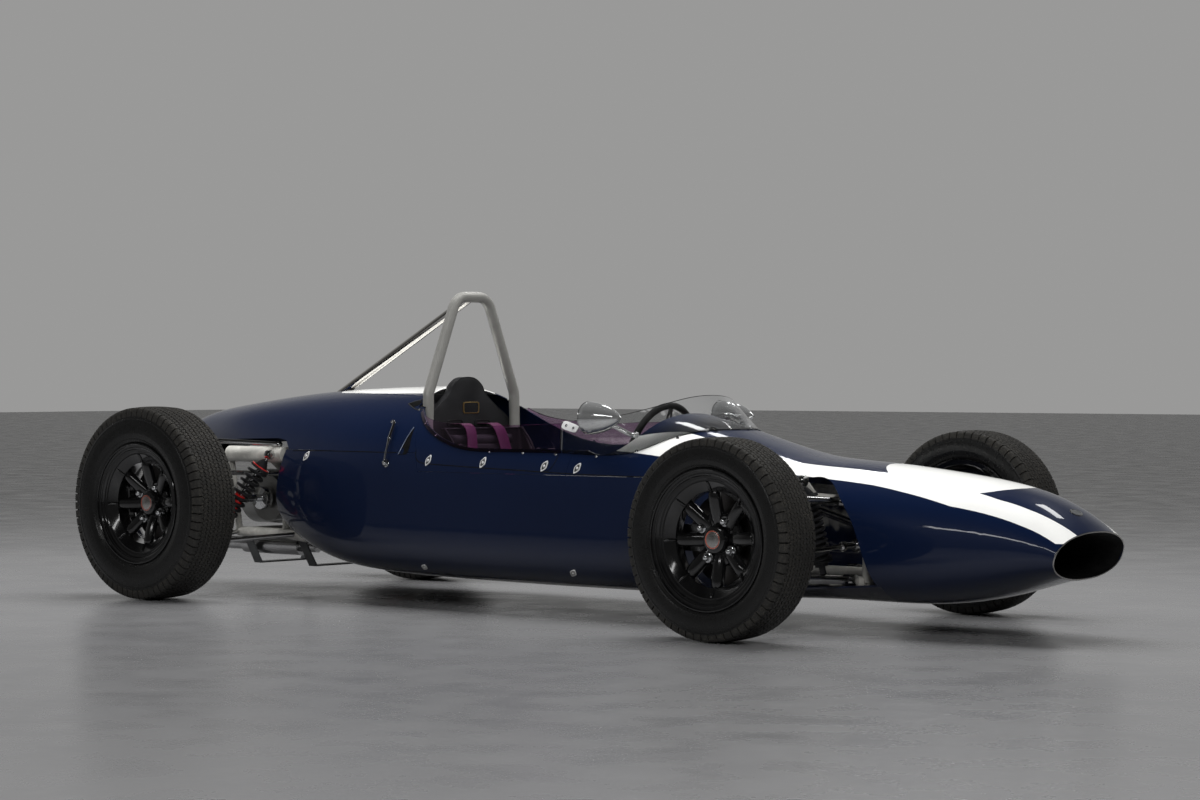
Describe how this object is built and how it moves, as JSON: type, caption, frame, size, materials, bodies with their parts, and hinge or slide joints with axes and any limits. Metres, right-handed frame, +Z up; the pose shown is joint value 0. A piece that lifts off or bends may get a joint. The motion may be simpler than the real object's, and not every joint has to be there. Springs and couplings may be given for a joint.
{
  "type": "open wheel racing car",
  "caption": "Slim single-seat racing car with exposed wheels, tubular frame, cigar-shaped body, roll hoop with brace, working steering and free-spinning wheels.",
  "frame": {"origin": "on the ground below the middle of the car's length and width", "axes": "+X to the nose, +Y to the car's left, +Z up"},
  "size_m": [3.58, 1.394, 0.975],
  "materials": {
    "body_paint": "gloss dark navy with white stripes",
    "tray_metal": "gloss dark navy",
    "frame_paint": "satin grey",
    "hoop_steel": "satin",
    "tyre_rubber": "block tread",
    "wheel_paint": "gloss black",
    "hub_steel": "machined",
    "arm_steel": "satin plated",
    "spring_paint": "black",
    "clear_sheet": "clear",
    "tinted_sheet": "tinted",
    "mirror_chrome": "polished",
    "seat_plastic": "black",
    "head_leather": "black",
    "wheel_leather": "black",
    "dash_metal": "satin",
    "engine_metal": "cast",
    "exhaust_steel": "satin",
    "strip_paint": "dark grey",
    "latch_chrome": "polished"
  },
  "bodies": {
    "chassis": {"nose_cone": "body_paint", "cockpit_surround": "body_paint", "engine_cover": "body_paint", "side_panel_left": "body_paint", "side_panel_right": "body_paint", "undertray": "tray_metal", "chassis_frame": "frame_paint", "roll_hoop": "hoop_steel", "roll_hoop_brace": "hoop_steel", "front_lower_wishbones": "arm_steel", "front_upper_wishbones": "arm_steel", "rear_uprights": "arm_steel", "rear_links": "arm_steel", "steering_rack_housing": "arm_steel", "front_coilovers": "spring_paint", "rear_coilovers": "spring_paint", "windscreen": "clear_sheet", "side_screens": "tinted_sheet", "mirrors": "mirror_chrome", "seat": "seat_plastic", "headrest_panel": "head_leather", "dashboard": "dash_metal", "radiator": "dash_metal", "engine_block": "engine_metal", "gearbox": "engine_metal", "exhaust_pipe": "exhaust_steel", "under_hoops": "strip_paint", "cover_latches": "latch_chrome"},
    "knuckle_left": {"front_knuckle_left": "arm_steel"},
    "knuckle_right": {"front_knuckle_right": "arm_steel"},
    "wheel_front_left": {"front_tyre_left": "tyre_rubber", "front_wheel_left": "wheel_paint", "front_hub_left": "hub_steel"},
    "wheel_front_right": {"front_tyre_right": "tyre_rubber", "front_wheel_right": "wheel_paint", "front_hub_right": "hub_steel"},
    "wheel_rear_left": {"rear_tyre_left": "tyre_rubber", "rear_wheel_left": "wheel_paint", "rear_hub_left": "hub_steel"},
    "wheel_rear_right": {"rear_tyre_right": "tyre_rubber", "rear_wheel_right": "wheel_paint", "rear_hub_right": "hub_steel"},
    "rack_bar": {"steering_rack": "arm_steel"},
    "driver_wheel": {"steering_wheel": "wheel_leather", "steering_column": "arm_steel"}
  },
  "joints": [
    {"name": "steer_left", "type": "hinge", "parent": "chassis", "child": "knuckle_left", "pos_m": [1, 0.503, 0.2734], "axis": [0, -0.037, 0.9993], "range_deg": [-22, 22]},
    {"name": "steer_right", "type": "hinge", "parent": "chassis", "child": "knuckle_right", "pos_m": [1, -0.503, 0.2734], "axis": [0, 0.037, 0.9993], "range_deg": [-22, 22]},
    {"name": "rack_slide", "type": "slide", "parent": "chassis", "child": "rack_bar", "axis": [0, 1, 0], "range_m": [-0.04, 0.04]},
    {"name": "driver_wheel_turn", "type": "hinge", "parent": "chassis", "child": "driver_wheel", "pos_m": [0.318, 0, 0.476], "axis": [-0.9656, 0, 0.2599], "range_deg": [-178, 178]},
    {"name": "spin_front_left", "type": "hinge", "parent": "knuckle_left", "child": "wheel_front_left", "pos_m": [1, 0.607, 0.2734], "axis": [0, 1, 0], "continuous": true},
    {"name": "spin_front_right", "type": "hinge", "parent": "knuckle_right", "child": "wheel_front_right", "pos_m": [1, -0.607, 0.2734], "axis": [0, 1, 0], "continuous": true},
    {"name": "spin_rear_left", "type": "hinge", "parent": "chassis", "child": "wheel_rear_left", "pos_m": [-1.3, 0.6105, 0.3063], "axis": [0, 1, 0], "continuous": true},
    {"name": "spin_rear_right", "type": "hinge", "parent": "chassis", "child": "wheel_rear_right", "pos_m": [-1.3, -0.6105, 0.3063], "axis": [0, 1, 0], "continuous": true}
  ],
  "couplings": [
    {"joint": "steer_right", "follows": "steer_left", "ratio": 1},
    {"joint": "rack_slide", "follows": "steer_left", "m_per_rad": 0.1},
    {"joint": "driver_wheel_turn", "follows": "steer_left", "ratio": 8}
  ]
}
